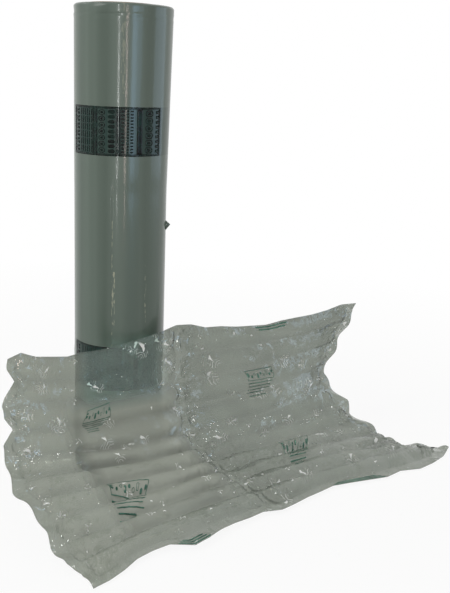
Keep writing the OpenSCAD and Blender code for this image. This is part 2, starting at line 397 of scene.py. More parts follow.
@dataclass(frozen=True)
class CushionFilm(Finish):
    """Clear polyethylene round air: thin, glossy and hazy, creased into small facets where it is slack."""

    name: str = "cushion_film"
    dark: str = "#8c9289"
    light: str = "#9aa096"
    # Painted light: the film is lighter towards its left edge, nearer the key lamp
    left_painted_light: str = "#aeb2a6"
    # Painted light: a lighter colour where the roll's foot shades the film from behind
    foot_painted_light: str = "#a9aea2"
    clear_light: str = "#bccbc2"
    left_mm: float = 150.0
    cloud_mm: float = 35.0
    facet_mm: tuple[float, float] = (11.0, 6.0)
    facet_tilt: float = 0.9
    patch_mm: float = 24.0
    ridge_mm: float = 9.0
    ridge_h_mm: float = 0.12
    line_mm: float = 4.5
    line_h_mm: float = 0.12
    spread: float = 0.93
    coat_spread: float = 0.86
    # Weld colour, partly the welds' own tone and partly painted light that lifts the shade in the valleys
    # between tubes
    weld_tone_and_painted_light: str = "#a0a59c"
    # Near-white colour of the painted glints at the film's creases
    crease_glint_paint: str = "#f6f8f4"
    through: float = 0.65
    clear_through: float = 0.89
    foot_through: float = 0.2
    cluster_mm: float = 23.0
    cluster_share: float = 0.33
    speck_mm: float = 14.0
    speck_share: float = 0.05
    wedge_slope: float = 0.3
    arc_mm: float = 1.4
    arc_strength: float = 0.7

    def facets(self, tree: bpy.types.NodeTree, web: bpy.types.NodeSocket,
               size_mm: float) -> bpy.types.NodeSocket:
        """Adds small flat facets, each tilted its own way.

        Args:
            tree: The node tree that they join.
            web: The place on the web.
            size_mm: How large a facet is.

        Returns:
            Their height in metres.
        """
        warp = add_node(tree, "ShaderNodeTexNoise", {
            "Vector": web, "Scale": 1 / (1.7 * size_mm * MM), "Detail": 1.0,
        }, noise_dimensions="2D")
        shift = add_node(tree, "ShaderNodeVectorMath", {
            0: warp.outputs["Color"], 1: (1.6 * size_mm * MM,) * 3, 2: web,
        }, operation="MULTIPLY_ADD")
        cell = add_node(tree, "ShaderNodeTexVoronoi", {
            "Vector": shift.outputs[0], "Scale": 1 / (size_mm * MM),
        }, voronoi_dimensions="2D")
        offset = add_node(tree, "ShaderNodeVectorMath", {
            0: shift.outputs[0], 1: cell.outputs["Position"],
        }, operation="SUBTRACT")
        lean = add_node(tree, "ShaderNodeVectorMath", {
            0: cell.outputs["Color"], 1: (0.5, 0.5, 0.5),
        }, operation="SUBTRACT")
        return add_node(tree, "ShaderNodeVectorMath", {
            0: offset.outputs[0], 1: lean.outputs[0],
        }, operation="DOT_PRODUCT").outputs["Value"]

    def painted_crease_glints(self, tree: bpy.types.NodeTree, web: bpy.types.NodeSocket, crease: bpy.types.NodeSocket,
                     size_mm: float, share: float, arcs: bool) -> bpy.types.NodeSocket:
        """Adds painted glints at the film's creases: white wedges of many sizes, some with short arcs behind
        them.

        Args:
            tree: The node tree that they join.
            web: The place on the web.
            crease: How slack the film is there, from 0 to 1.
            size_mm: How far apart the marks may be.
            share: How many of the places have a mark.
            arcs: Whether a wedge has arcs behind it.

        Returns:
            A socket with 1 on a mark and 0 elsewhere.
        """
        size = size_mm * MM
        warp = add_node(tree, "ShaderNodeTexNoise", {
            "Vector": web, "Scale": 2.2 / size, "Detail": 2.0,
        }, noise_dimensions="2D")
        bent = add_node(tree, "ShaderNodeVectorMath", {
            0: warp.outputs["Color"], 1: (0.28 * size, 0.28 * size, 0), 2: web,
        }, operation="MULTIPLY_ADD")
        cell = add_node(tree, "ShaderNodeTexVoronoi", {
            "Vector": bent.outputs[0], "Scale": 1 / size,
        }, voronoi_dimensions="2D")
        offset = add_node(tree, "ShaderNodeVectorMath", {
            0: bent.outputs[0], 1: cell.outputs["Position"],
        }, operation="SUBTRACT")
        lean = add_node(tree, "ShaderNodeVectorMath", {
            0: cell.outputs["Color"], 1: (0.5, 0.5, 0.5),
        }, operation="SUBTRACT")
        flat = add_node(tree, "ShaderNodeVectorMath", {
            0: lean.outputs[0], 1: (1, 1, 0),
        }, operation="MULTIPLY")
        aim = add_node(tree, "ShaderNodeVectorMath", {0: flat.outputs[0]}, operation="NORMALIZE").outputs[0]
        reach = add_node(tree, "ShaderNodeVectorMath", {
            0: offset.outputs[0],
        }, operation="LENGTH").outputs["Value"]
        along = add_node(tree, "ShaderNodeVectorMath", {
            0: offset.outputs[0], 1: aim,
        }, operation="DOT_PRODUCT").outputs["Value"]
        reach_squared = add_node(tree, "ShaderNodeMath", {0: reach, 1: reach}, operation="MULTIPLY")
        along_squared = add_node(tree, "ShaderNodeMath", {0: along, 1: along}, operation="MULTIPLY")
        aside_squared = add_node(tree, "ShaderNodeMath", {
            0: reach_squared.outputs[0], 1: along_squared.outputs[0],
        }, operation="SUBTRACT")
        not_below = add_node(tree, "ShaderNodeMath", {
            0: aside_squared.outputs[0], 1: 0.0,
        }, operation="MAXIMUM")
        aside = add_node(tree, "ShaderNodeMath", {0: not_below.outputs[0]}, operation="SQRT")
        slant = add_node(tree, "ShaderNodeMath", {
            0: along, 1: -self.wedge_slope, 2: aside.outputs[0],
        }, operation="MULTIPLY_ADD")
        picked = add_node(tree, "ShaderNodeSeparateColor", {0: cell.outputs["Color"]})
        grown = add_node(tree, "ShaderNodeMath", {
            0: picked.outputs["Green"], 1: 0.26 * size, 2: 0.1 * size,
        }, operation="MULTIPLY_ADD")
        reached = add_node(tree, "ShaderNodeMath", {0: reach, 1: grown.outputs[0]}, operation="DIVIDE")
        within = add_node(tree, "ShaderNodeMapRange", {
            "Value": reached.outputs[0], "From Min": 0.92, "From Max": 1.08, "To Min": 1.0, "To Max": 0.0,
        })
        pointed = add_node(tree, "ShaderNodeMapRange", {
            "Value": slant.outputs[0], "From Min": -0.1 * MM, "From Max": 0.1 * MM,
            "To Min": 1.0, "To Max": 0.0,
        })
        wedge = add_node(tree, "ShaderNodeMath", {
            0: pointed.outputs[0], 1: within.outputs[0],
        }, operation="MULTIPLY")
        marked = wedge.outputs[0]
        if arcs:
            far = add_node(tree, "ShaderNodeVectorMath", {
                0: aim, 1: (0.5 * size, 0.25 * size, 0), 2: offset.outputs[0],
            }, operation="MULTIPLY_ADD")
            radius = add_node(tree, "ShaderNodeVectorMath", {0: far.outputs[0]}, operation="LENGTH")
            ring = add_node(tree, "ShaderNodeMath", {
                0: radius.outputs["Value"], 1: self.arc_mm * MM,
            }, operation="PINGPONG")
            line = add_node(tree, "ShaderNodeMapRange", {
                "Value": ring.outputs[0], "From Min": 0.14 * MM, "From Max": 0.42 * MM,
                "To Min": 1.0, "To Max": 0.0,
            })
            turned = add_node(tree, "ShaderNodeMath", {0: along, 1: reach}, operation="DIVIDE")
            behind = add_node(tree, "ShaderNodeMapRange", {
                "Value": turned.outputs[0], "From Min": 0.0, "From Max": 0.6, "To Min": 1.0, "To Max": 0.0,
            })
            inside = add_node(tree, "ShaderNodeMath", {
                0: line.outputs[0], 1: within.outputs[0],
            }, operation="MULTIPLY")
            arc = add_node(tree, "ShaderNodeMath", {
                0: inside.outputs[0], 1: behind.outputs[0],
            }, operation="MULTIPLY")
            fainter = add_node(tree, "ShaderNodeMath", {
                0: arc.outputs[0], 1: self.arc_strength,
            }, operation="MULTIPLY")
            marked = add_node(tree, "ShaderNodeMath", {
                0: marked, 1: fainter.outputs[0],
            }, operation="MAXIMUM").outputs[0]
        limit = add_node(tree, "ShaderNodeMath", {0: crease, 1: 0.1, 2: share}, operation="MULTIPLY_ADD")
        kept = add_node(tree, "ShaderNodeMath", {
            0: picked.outputs["Blue"], 1: limit.outputs[0],
        }, operation="LESS_THAN")
        return add_node(tree, "ShaderNodeMath", {
            0: marked, 1: kept.outputs[0],
        }, operation="MULTIPLY").outputs[0]

    def surface(self, tree: bpy.types.NodeTree) -> dict[str | int, object]:
        """Adds the haze, the painted light on the left, at the welds and at the roll's foot, the painted
        glints, the facets, the ridges and the long lines along the tubes.

        Args:
            tree: The node tree that they join.

        Returns:
            The shader's inputs.
        """
        web = add_node(tree, "ShaderNodeUVMap", uv_map="web").outputs[0]
        crease = add_node(tree, "ShaderNodeAttribute", attribute_name="crease").outputs["Fac"]
        cling = add_node(tree, "ShaderNodeAttribute", attribute_name="cling").outputs["Fac"]
        cloud = add_node(tree, "ShaderNodeTexNoise", {
            "Vector": web, "Scale": 1 / (self.cloud_mm * MM), "Detail": 3.0, "Roughness": 0.55,
        })
        haze = add_node(tree, "ShaderNodeValToRGB", {0: cloud.outputs[0]},
                        stops=[(0.3, linear(self.dark)), (0.7, linear(self.light))])
        # Painted light: the colour grows lighter towards the web's left edge
        painted_light_from_left = add_node(tree, "ShaderNodeMapRange", {
            "Value": add_node(tree, "ShaderNodeSeparateXYZ", {0: web}).outputs["X"],
            "From Max": self.left_mm * MM, "To Min": 0.7, "To Max": 0.0,
        })
        sided = add_node(tree, "ShaderNodeMix", {
            0: painted_light_from_left.outputs[0], 6: haze.outputs[0], 7: linear(self.left_painted_light),
        }, data_type="RGBA")
        # Weld tone and painted light: lighter along the welds, where the valleys between tubes are shaded
        weld_and_painted_light_share = add_node(tree, "ShaderNodeMapRange", {
            "Value": add_node(tree, "ShaderNodeAttribute", attribute_name="open").outputs["Fac"],
            "From Max": 0.6, "To Min": 0.6, "To Max": 0.0,
        })
        joined = add_node(tree, "ShaderNodeMix", {
            0: weld_and_painted_light_share.outputs[0], 6: sided.outputs[2], 7: linear(self.weld_tone_and_painted_light),
        }, data_type="RGBA")
        foot = add_node(tree, "ShaderNodeAttribute", attribute_name="foot").outputs["Fac"]
        # Painted light: lighter where the roll's foot shades the film
        foot_painted_light_mix = add_node(tree, "ShaderNodeMix", {
            0: foot, 6: joined.outputs[2], 7: linear(self.foot_painted_light),
        }, data_type="RGBA")
        cleared = add_node(tree, "ShaderNodeMix", {
            0: cling, 6: foot_painted_light_mix.outputs[2], 7: linear(self.clear_light),
        }, data_type="RGBA")
        # Painted glints: white wedges and arcs in the film's colour where it is creased
        painted_glint_clusters = self.painted_crease_glints(tree, web, crease, self.cluster_mm, self.cluster_share, arcs=True)
        painted_glint_specks = self.painted_crease_glints(tree, web, crease, self.speck_mm, self.speck_share, arcs=False)
        marks = add_node(tree, "ShaderNodeMath", {0: painted_glint_clusters, 1: painted_glint_specks}, operation="MAXIMUM").outputs[0]
        tint = add_node(tree, "ShaderNodeMix", {
            0: marks, 6: cleared.outputs[2], 7: linear(self.crease_glint_paint),
        }, data_type="RGBA")
        patch = add_node(tree, "ShaderNodeTexNoise", {
            "Vector": web, "Scale": 1 / (self.patch_mm * MM), "Detail": 2.0,
        })
        slack = add_node(tree, "ShaderNodeMapRange", {
            "Value": patch.outputs[0], "From Min": 0.56, "From Max": 0.7, "To Min": 0.05, "To Max": 0.35,
        })
        frayed = add_node(tree, "ShaderNodeMath", {0: crease, 1: 0.5}, operation="MULTIPLY")
        amount = add_node(tree, "ShaderNodeMath", {
            0: slack.outputs[0], 1: frayed.outputs[0],
        }, operation="MAXIMUM")
        large, small = (self.facets(tree, web, size) for size in self.facet_mm)
        both = add_node(tree, "ShaderNodeMath", {0: large, 1: small}, operation="ADD")
        tilted = add_node(tree, "ShaderNodeMath", {
            0: both.outputs[0], 1: self.facet_tilt,
        }, operation="MULTIPLY")
        facets = add_node(tree, "ShaderNodeMath", {
            0: tilted.outputs[0], 1: amount.outputs[0],
        }, operation="MULTIPLY")
        ridge = add_node(tree, "ShaderNodeTexNoise", {
            "Vector": web, "Scale": 1 / (self.ridge_mm * MM), "Detail": 2.5, "Roughness": 0.6,
            "Distortion": 1.0,
        }, noise_type="RIDGED_MULTIFRACTAL")
        ridge_h = add_node(tree, "ShaderNodeMath", {
            0: ridge.outputs[0], 1: self.ridge_h_mm * MM,
        }, operation="MULTIPLY")
        along = add_node(tree, "ShaderNodeMapping", {"Vector": web, "Scale": (0.08, 1.0, 1.0)})
        line = add_node(tree, "ShaderNodeTexNoise", {
            "Vector": along.outputs[0], "Scale": 1 / (self.line_mm * MM), "Detail": 2.0,
        })
        line_h = add_node(tree, "ShaderNodeMath", {
            0: line.outputs[0], 1: self.line_h_mm * MM, 2: ridge_h.outputs[0],
        }, operation="MULTIPLY_ADD")
        height = add_node(tree, "ShaderNodeMath", {
            0: facets.outputs[0], 1: line_h.outputs[0],
        }, operation="ADD")
        hazed = add_node(tree, "ShaderNodeMapRange", {
            "Value": foot, "To Min": self.through, "To Max": self.foot_through,
        })
        clear = add_node(tree, "ShaderNodeMapRange", {
            "Value": cling, "To Min": hazed.outputs[0], "To Max": self.clear_through,
        })
        unmarked = add_node(tree, "ShaderNodeMath", {0: 1.0, 1: marks}, operation="SUBTRACT")
        through = add_node(tree, "ShaderNodeMath", {
            0: clear.outputs[0], 1: unmarked.outputs[0],
        }, operation="MULTIPLY")
        outward = add_node(tree, "ShaderNodeAttribute", attribute_name="sheet_normal").outputs["Vector"]
        geometry = add_node(tree, "ShaderNodeNewGeometry")
        facing = add_node(tree, "ShaderNodeMapRange", {
            "Value": geometry.outputs["Backfacing"], "To Min": 1.0, "To Max": -1.0,
        })
        flat = add_node(tree, "ShaderNodeVectorMath", {
            0: outward, "Scale": facing.outputs[0],
        }, operation="SCALE")
        soft = add_node(tree, "ShaderNodeMix", {
            0: self.spread, 4: geometry.outputs["Normal"], 5: flat.outputs[0],
        }, data_type="VECTOR")
        film = add_node(tree, "ShaderNodeMix", {
            0: self.coat_spread, 4: geometry.outputs["Normal"], 5: flat.outputs[0],
        }, data_type="VECTOR")
        folds = add_node(tree, "ShaderNodeBump", {
            "Strength": 1.0, "Distance": 1.0, "Height": height.outputs[0], "Normal": film.outputs[1],
        })
        lines = add_node(tree, "ShaderNodeBump", {
            "Strength": 0.4, "Distance": 1.0, "Height": line_h.outputs[0], "Normal": soft.outputs[1],
        })
        return {
            "Base Color": tint.outputs[2], "Roughness": 0.0, "IOR": 1.0,
            "Transmission Weight": through.outputs[0],
            "Coat Weight": 1.0, "Coat Roughness": 0.04, "Coat IOR": 1.4,
            "Normal": lines.outputs[0], "Coat Normal": folds.outputs[0],
        }


@dataclass(frozen=True)
class FilmInk(Finish):
    """Flexographic ink on film: thin, dark green, a little uneven, glossy where film lies over it."""

    name: str = "film_ink"
    thin: str = "#06281f"
    full: str = "#010403"
    # Real ink is mottled finer than a pixel, so it is drawn coarser
    mottle_mm: float = 8.0
    roughness: float = 0.3
    alpha: float = 0.95

    def surface(self, tree: bpy.types.NodeTree) -> dict[str | int, object]:
        """Adds the uneven ink.

        Args:
            tree: The node tree that they join.

        Returns:
            The shader's inputs.
        """
        place = add_node(tree, "ShaderNodeTexCoord").outputs["Object"]
        mottle = add_node(tree, "ShaderNodeTexNoise", {
            "Vector": place, "Scale": 1 / (self.mottle_mm * MM), "Detail": 3.0,
        })
        colour = add_node(tree, "ShaderNodeValToRGB", {0: mottle.outputs[0]},
                          stops=[(0.35, linear(self.full)), (0.75, linear(self.thin))])
        return {
            "Base Color": colour.outputs[0], "Roughness": self.roughness, "IOR": 1.4,
            "Specular IOR Level": 0.2, "Alpha": self.alpha,
        }


class Shape(Enum):
    """The simple shapes that the print is made of."""

    BAR = "bar"
    PILL = "pill"
    RING = "ring"
    CHEVRON = "chevron"


@dataclass
class InkLayer:
    """Simple printed shapes, drawn flat on the web and then laid on a film's surface."""

    cell: float = 1.6 * MM
    ring_line: float = 0.28
    round_steps: int = 16
    flat: bmesh.types.BMesh = field(default_factory=bmesh.new)

    def bar(self, s: float, t: float, width: float, height: float) -> None:
        """Draws a plain rectangle about (s, t)."""
        bmesh.ops.create_grid(
            self.flat, x_segments=max(1, math.ceil(width / self.cell)),
            y_segments=max(1, math.ceil(height / self.cell)), size=0.5,
            matrix=Matrix.Translation((s, t, 0)) @ Matrix.Diagonal((width, height, 1, 1)))

    def pill(self, s: float, t: float, width: float, height: float, hollow: bool = False) -> None:
        """Draws a rounded blot about (s, t).

        Args:
            s: Its middle along the web.
            t: Its middle across the web.
            width: Its size along the web.
            height: Its size across the web.
            hollow: Whether only its outline is printed.
        """
        radius = min(width, height) / 2
        made = bmesh.ops.create_circle(self.flat, cap_ends=True, segments=self.round_steps,
                                       radius=radius)["verts"]
        reach_s, reach_t = width / 2 - radius, height / 2 - radius
        for vert in made:
            vert.co.x += math.copysign(reach_s, vert.co.x)
            vert.co.y += math.copysign(reach_t, vert.co.y)
        bmesh.ops.translate(self.flat, verts=made, vec=(s, t, 0))
        faces = list({face for vert in made for face in vert.link_faces})
        line = radius * (self.ring_line if hollow else 0.5)
        bmesh.ops.inset_individual(self.flat, faces=faces, thickness=line, use_even_offset=True)
        if hollow:
            bmesh.ops.delete(self.flat, geom=faces, context="FACES")

    def chevron(self, s: float, t: float, width: float, height: float) -> None:
        """Draws an arrow head about (s, t), which points along the web.

        Args:
            s: Its middle along the web.
            t: Its middle across the web.
            width: Its size along the web.
            height: Its size across the web.
        """
        for side in (-1, 1):
            inner, outer = (s - width / 2, t), (s + width / 2, t + side * height / 2)
            thick = 0.38 * height
            corners = [
                inner, (inner[0], t + side * thick),
                (outer[0], outer[1] + side * 0.1 * thick), (outer[0], outer[1] - side * thick),
            ]
            verts = [self.flat.verts.new((x, y, 0)) for x, y in corners]
            self.flat.faces.new(verts if side > 0 else verts[::-1])

    def frame(self, s: float, t: float, width: float, height: float, line: float) -> None:
        """Draws the four lines round a panel about (s, t).

        Args:
            s: Its middle along the web.
            t: Its middle across the web.
            width: Its size along the web, with the lines.
            height: Its size across the web, with the lines.
            line: How broad a line is.
        """
        for side in (-1, 1):
            self.bar(s, t + side * (height - line) / 2, width, line)
            self.bar(s + side * (width - line) / 2, t, line, height - 2 * line)

    def column(self, shape: Shape, s: float, width: float, height: float, low: float, high: float,
               count: int) -> None:
        """Draws a column of like shapes.

        Args:
            shape: What is repeated.
            s: The column's middle along the web.
            width: A shape's size along the web.
            height: A shape's size across the web.
            low: Where the column starts across the web.
            high: Where it ends.
            count: How many shapes it has.
        """
        for k in range(count):
            t = low + (high - low) * (k + 0.5) / count
            if shape is Shape.BAR:
                self.bar(s, t, width, height)
            elif shape is Shape.CHEVRON:
                self.chevron(s, t, width, height)
            else:
                self.pill(s, t, width, height, hollow=shape is Shape.RING)

    def laid(self, name: str, place: Place, lift: float, thickness: float,
             material: bpy.types.Material) -> bpy.types.Object:
        """Lays the shapes on a surface and makes them the piece.

        Args:
            name: The piece's name.
            place: Gives the point of the surface at (s, t), lifted off it by the third value.
            lift: How far the ink's outer side lies above the film.
            thickness: How thick the ink is.
            material: The ink's finish.

        Returns:
            The piece.
        """
        for vert in self.flat.verts:
            vert.co = place(vert.co.x, vert.co.y, lift)
        bmesh.ops.recalc_face_normals(self.flat, faces=self.flat.faces[:])
        bmesh.ops.solidify(self.flat, geom=self.flat.faces[:], thickness=thickness)
        return new_object(name, self.flat, material)


@dataclass
class WoundRoll:
    """The wound film: all its turns as one form, and the print of the outer turn."""

    steps: int = 240
    tail_angle: float = math.radians(-94)
    tail_step: float = 0.4 * MM
    flare_l: float = 137 * MM
    flare_out: float = 2.8 * MM
    band_h: float = 39 * MM
    band_pitch: float = 200 * MM
    print_start: float = math.radians(-153.7)
    top_round: float = 2.2 * MM
    foot_round: float = 0.6 * MM
    # A few hundred turns are too thin to show, so eight lines stand for them
    turns_shown: int = 8
    turn_gap: float = 0.35 * MM
    turn_depth: float = 0.8 * MM
    bulge_out: float = 1.6 * MM
    bulge_at: float = math.radians(172)
    bulge_turn: float = 0.22
    bulge_z: float = 104 * MM
    bulge_h: float = 8 * MM
    fold_at: float = math.radians(-98)
    fold_turn: float = 0.28
    fold_down: float = 8.6 * MM
    fold_h: float = 0.8 * MM
    ripple_out: float = 0.3 * MM
    ripple_reach: float = 20 * MM

    def __post_init__(self) -> None:
        """Takes the roll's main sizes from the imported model."""
        _, core_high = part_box("core_tube")
        film_low, film_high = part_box("film_roll")
        self.core_out = core_high.x
        self.radius = -film_low.x
        self.low, self.top = film_low.z, film_high.z
        self.flare_z = self.top - self.flare_l

    def outer_radius(self, angle: float, z: float) -> float:
        """Gives the outer turn's distance from the axis.

        Args:
            angle: Direction round the axis, in radians.
            z: Height.

        Returns:
            The distance in metres.
        """
        turned = ((angle - self.tail_angle) % math.tau) / math.tau
        fade = min(max((self.flare_z - z) / (12 * MM), 0.0), 1.0)
        step = self.tail_step * (1 - turned) * fade
        share = max(0.0, (z - self.flare_z) / self.flare_l)
        flare = share * self.flare_out / 2 * (1 + math.cos(angle))
        return self.radius - step + flare

    def ripple(self, angle: float, z: float) -> float:
        """Gives how far the loose film stands in or out: near the top edge, at its fold and at the bulge.

        Args:
            angle: Direction round the axis, in radians.
            z: Height.

        Returns:
            The distance outwards in metres.
        """
        near_top = max(0.0, 1 - (self.top - z) / self.ripple_reach)
        wave = math.sin(3 * angle + z / (1.3 * MM)) + 0.7 * math.sin(7 * angle - z / (0.8 * MM) + 1.0)
        off = (angle - self.bulge_at + math.pi) % math.tau - math.pi
        bulge = math.exp(-(off / self.bulge_turn) ** 2 - ((z - self.bulge_z) / self.bulge_h) ** 2)
        depth = self.top - z
        turned = (angle - self.fold_at + math.pi) % math.tau - math.pi
        fold = math.exp(-((depth - self.fold_down) / self.fold_h) ** 2 - (turned / self.fold_turn) ** 4)
        return self.ripple_out * near_top ** 2 * wave - self.ripple_out * fold + self.bulge_out * bulge

    def profile(self) -> list[tuple[float, float]]:
        """Lists the section's corners (distance from the axis, height), from the bore's foot outwards.

        Returns:
            The closed section, without its first point at the end.
        """
        pitch = (self.radius - self.core_out - 2 * MM) / self.turns_shown
        lines = [self.core_out + 1 * MM + k * pitch for k in range(self.turns_shown)]
        walls = (0, 0.02 * MM, self.turn_gap, self.turn_gap + 0.02 * MM)
        grooves = [r + shift for r in lines for shift in walls]
        depths = [0, self.turn_depth, self.turn_depth, 0] * self.turns_shown
        foot = [(r, self.low + depth) for r, depth in zip(grooves, depths)]
        head = [(r, self.top - depth) for r, depth in zip(reversed(grooves), reversed(depths))]
        quarter = [math.radians(15 * k) for k in range(7)]
        bends = [(1 - math.sin(q), 1 - math.cos(q)) for q in quarter]
        foot_edge = [(self.radius - self.foot_round * s, self.low + self.foot_round * c) for s, c in bends]
        head_edge = [(self.radius - self.top_round * c, self.top - self.top_round * s) for s, c in bends]
        # The wall's rows stand 4 mm apart, and 0.6 mm near the top, where the film folds and ripples
        low_wall = [self.low + 4 * MM * k for k in range(1, 90)]
        wall = [z for z in low_wall if z < self.top - 26 * MM]
        fine = [wall[-1] + 0.6 * MM * k for k in range(1, 60)]
        wall += [z for z in fine if z < self.top - self.top_round - 0.3 * MM]
        return ([(self.core_out, self.low)] + foot + foot_edge + [(self.radius, z) for z in wall]
                + head_edge + head + [(self.core_out, self.top)])

    def body(self, material: bpy.types.Material) -> bpy.types.Object:
        """Spins the section round the axis and lets the outer turns flare, step and ripple.

        Args:
            material: The film's finish.

        Returns:
            The roll of film.
        """
        shape = bmesh.new()
        ring = [shape.verts.new((r, 0, z)) for r, z in self.profile()]
        edges = [shape.edges.new((ring[k - 1], ring[k])) for k in range(len(ring))]
        bmesh.ops.spin(shape, geom=ring + edges, cent=(0, 0, 0), axis=(0, 0, 1), dvec=(0, 0, 0),
                       angle=math.tau, steps=self.steps, use_merge=True)
        bmesh.ops.recalc_face_normals(shape, faces=shape.faces[:])
        for vert in shape.verts:
            angle = math.atan2(vert.co.y, vert.co.x)
            reach = math.hypot(vert.co.x, vert.co.y)
            share = ((reach - self.core_out) / (self.radius - self.core_out)) ** 2
            grown = reach + share * (self.outer_radius(angle, vert.co.z) - self.radius)
            if share > 0.9:
                grown += self.ripple(angle, vert.co.z)
            vert.co.x *= grown / reach
            vert.co.y *= grown / reach
        self.add_corner(shape)
        return new_object("wound_film", shape, material)

    def add_corner(self, shape: bmesh.types.BMesh) -> None:
        """Adds the small folded corner of loose film on the right side.

        Args:
            shape: The roll, which it joins.
        """
        root, tip = self.radius - 2 * MM, self.radius + 3.6 * MM
        low, high, out = 213 * MM, 225 * MM, 220.2 * MM
        verts = [shape.verts.new((x, -0.6 * MM, z)) for x, z in ((root, low), (tip, out), (root, high))]
        face = shape.faces.new(verts)
        thick = bmesh.ops.extrude_face_region(shape, geom=[face])["geom"]
        bmesh.ops.translate(shape, verts=[g for g in thick if isinstance(g, bmesh.types.BMVert)],
                            vec=(0, 1.2 * MM, 0))
        bmesh.ops.recalc_face_normals(shape, faces=shape.faces[-5:])

    def wrap(self, mid: float) -> Place:
        """Gives the placing of a band's print round the roll, with t measured from the band's middle.

        Args:
            mid: The band's middle height.

        Returns:
            What gives the point at (s, t), lifted off the film by the third value.
        """
        def place(s: float, t: float, lift: float) -> Vector:
            angle = s / self.radius
            z = mid + t
            out = self.outer_radius(angle, z) + self.ripple(angle, z) + lift
            return Vector((out * math.cos(angle), out * math.sin(angle), z))
        return place

    def draw_band(self, ink: InkLayer) -> None:
        """Draws one band round the roll: three panels of marks and a bare stretch, twice over.

        Args:
            ink: The layer that it is drawn on.
        """
        half = self.band_h / 2
        low, high = -half + 2 * MM, half - 2 * MM
        for k in range(2):
            first = (self.print_start + k * math.pi) * self.radius
            self.draw_panel(ink, first, 25.7 * MM)
            ink.column(Shape.CHEVRON, first + 5.0 * MM, 5.6 * MM, 4.6 * MM, low, high, 6)
            for line in range(6):
                ink.column(Shape.BAR, first + (11.0 + 2.4 * line) * MM, 0.9 * MM, 5.2 * MM, low, high, 6)
            second = first + 26.7 * MM
            self.draw_panel(ink, second, 18.8 * MM)
            ink.column(Shape.RING, second + 5.6 * MM, 5.6 * MM, 4.4 * MM, low, high, 7)
            ink.column(Shape.PILL, second + 5.6 * MM, 2.4 * MM, 2.0 * MM, low, high, 7)
            ink.column(Shape.PILL, second + 13.6 * MM, 5.6 * MM, 3.0 * MM, low, high, 9)
            third = first + 46.3 * MM
            self.draw_panel(ink, third, 36.9 * MM)
            ink.column(Shape.PILL, third + 3.2 * MM, 2.6 * MM, 2.0 * MM, low, high, 12)
            ink.column(Shape.BAR, third + 7.2 * MM, 1.4 * MM, 1.6 * MM, low, high, 15)
            ink.column(Shape.BAR, third + 10.4 * MM, 2.4 * MM, 1.2 * MM, low, high, 14)
            ink.bar(third + 16.8 * MM, 0, 4.6 * MM, self.band_h - 3 * MM)
            ink.column(Shape.RING, third + 25.4 * MM, 7.4 * MM, 5.2 * MM, low, high, 6)
            ink.column(Shape.PILL, third + 25.4 * MM, 3.4 * MM, 2.4 * MM, low, high, 6)
            ink.column(Shape.CHEVRON, third + 33.6 * MM, 3.2 * MM, 2.8 * MM, low, high, 9)

    def draw_panel(self, ink: InkLayer, s: float, width: float) -> None:
        """Draws the double line round a panel that starts at s."""
        ink.frame(s + width / 2, 0, width, self.band_h, 0.9 * MM)
        ink.frame(s + width / 2, 0, width - 2.6 * MM, self.band_h - 2.6 * MM, 0.4 * MM)

    def build(self, film: bpy.types.Material, ink: bpy.types.Material) -> list[bpy.types.Object]:
        """Builds the roll of film and the print on it.

        Args:
            film: The film's finish.
            ink: The ink's finish.

        Returns:
            The roll and its print.
        """
        roll = self.body(film)
        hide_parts("film_roll")
        middle = (self.low + self.top) / 2
        bands = []
        for name, side in (("low_band", -1), ("high_band", 1)):
            mid = middle + side * self.band_pitch / 2
            layer = InkLayer()
            self.draw_band(layer)
            band = layer.laid(name, self.wrap(mid), lift=0.14 * MM, thickness=0.1 * MM, material=ink)
            bands.append(band)
        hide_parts("roll_print")
        return [roll, *bands]


NET_MM = (
    ((-126, 128, -8), (-129, 88, 1), (-132, 47, 21), (-137, 14, 45), (-134, -2, 83), (-129, -6, 121)),
    ((-38, 109, -3), (-40, 81, 4), (-42, 47, 17), (-48, 19, 35), (-50, 3, 75), (-50, -1, 117)),
    ((57, 114, -5), (46, 76, 4), (40, 45, 12), (33, 16, 31), (30, 3, 75), (28, -1, 123)),
    ((160, 114, -6), (150, 76, 3), (140, 43, 10), (128, 17, 31), (128, 4, 75), (130, -1, 117)),
    ((284, 104, -9), (250, 77, -5), (236, 44, 5), (205, 9, 41), (218, 0, 81), (250, -4, 119)),
)
MARK_W, MARK_H, MARK_ROW = 33 * MM, 24 * MM, 10 * MM
# Where the film lies clear against the roll, and where it is foggy and lightened by painted light below that,
# across and along the web
CLEAR_ACROSS = (76 * MM, 88 * MM, 168 * MM, 184 * MM)
CLEAR_ALONG = (156 * MM, 172 * MM)
FOOT_ACROSS = (60 * MM, 76 * MM, 172 * MM, 190 * MM)
FOOT_ALONG = (20 * MM, 60 * MM, 156 * MM, 172 * MM)
LEFT_EDGE_MM = (
    0, 0, -2.5, 3.5, 4, 4.5, 2, 1, 2, 4, 6.5, 3.5, 0.5, 0.5, 0.5, -10.5, -2, -1, -6.5, -10, -4, -3.5,
)
RIGHT_EDGE_MM = (
    -1, 1.5, 4.5, -1, -1.5, -4.5, -6, -5.5, -3, 0, -5, 8, 6.5, 4, -2.5, 3, 5, 6, 8, 7, 6, -1,
)
FRONT_EDGE_MM = (
    0, 1.5, 1, -1.5, 0, 3, 17, 14, 8, 4, 1.5, -2.5, 2, -1, -4.5, -6.5, -9, -5, 0, 5.5, 4, 12, 11, 7.5, -1,
)
BACK_EDGE_MM = (
    -0.5, 4, 0, -1, -2, 0, 0, 0, 0, 0, 0, 1, 4, 3, -1, -1, -2.5, -3, -4, -2.5, -2.5, -3, -2, 0.5, -1,
)
# Each print's row, its upper and lower corners, and its last bar's ends, left then right, across and along
MARKS_MM = (
    ((82, 160), (108, 164), (76, 150), (106, 153), (80, 142), (95, 143)),
    ((71, 87), (109, 78), (66, 73), (97, 63), (60, 46), (81, 40)),
    ((269, 166), (301, 165), (270, 158), (303, 156), (272, 144), (299, 143)),
    ((274, 88), (306, 84), (265, 63), (287, 60), (253, 38), (268, 41)),
)


